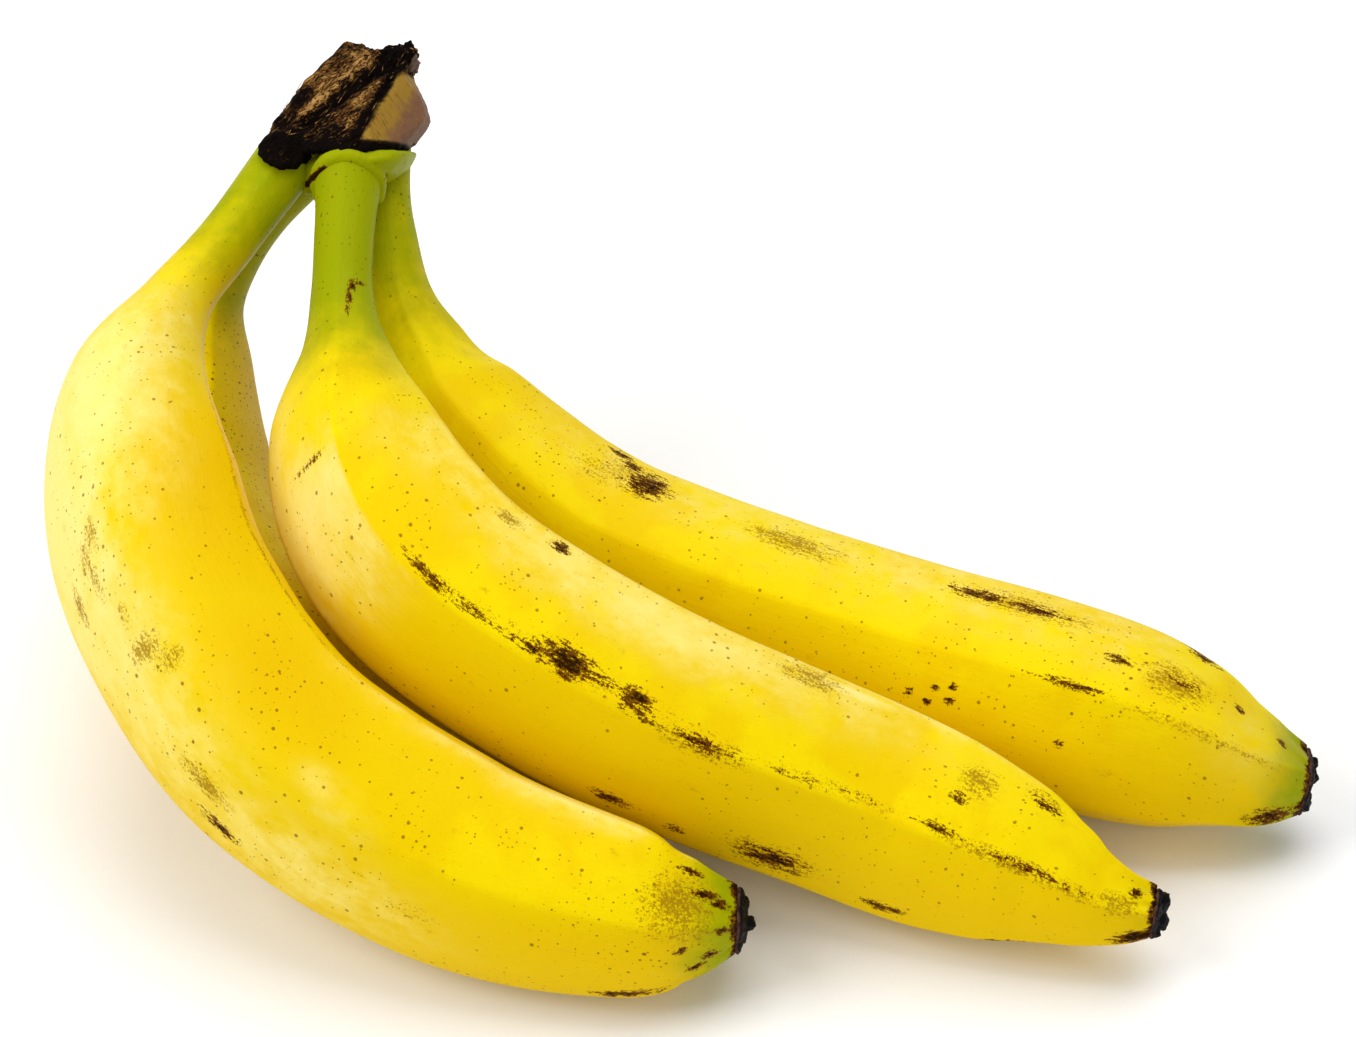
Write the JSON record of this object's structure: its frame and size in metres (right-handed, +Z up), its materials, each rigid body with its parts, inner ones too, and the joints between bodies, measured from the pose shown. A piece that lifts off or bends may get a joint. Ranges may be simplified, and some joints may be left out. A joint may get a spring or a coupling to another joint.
{
  "type": "bunch of bananas",
  "caption": "Hand of ripe yellow bananas lying on a table, joined at a brown woody crown, with green stems and dark blossom ends.",
  "frame": {"origin": "middle of the bounding box's bottom face, on the table top", "axes": "+Z up from the table, +X from the crown's side to the blossom ends on the right, -Y towards the side where the left fruit curves round"},
  "size_m": [0.2082, 0.1694, 0.0818],
  "materials": {
    "peel": "waxy satin fruit peel",
    "crown_wood": "dry torn fibre, matte",
    "blossom_stump": "dried black, matte"
  },
  "bodies": {
    "root": {"crown": "crown_wood", "stem_collar": "peel", "banana_left": "peel", "banana_middle": "peel", "banana_right": "peel", "banana_behind": "peel", "blossom_end_left": "blossom_stump", "blossom_end_middle": "blossom_stump", "blossom_end_right": "blossom_stump", "blossom_end_behind": "blossom_stump"}
  },
  "joints": []
}
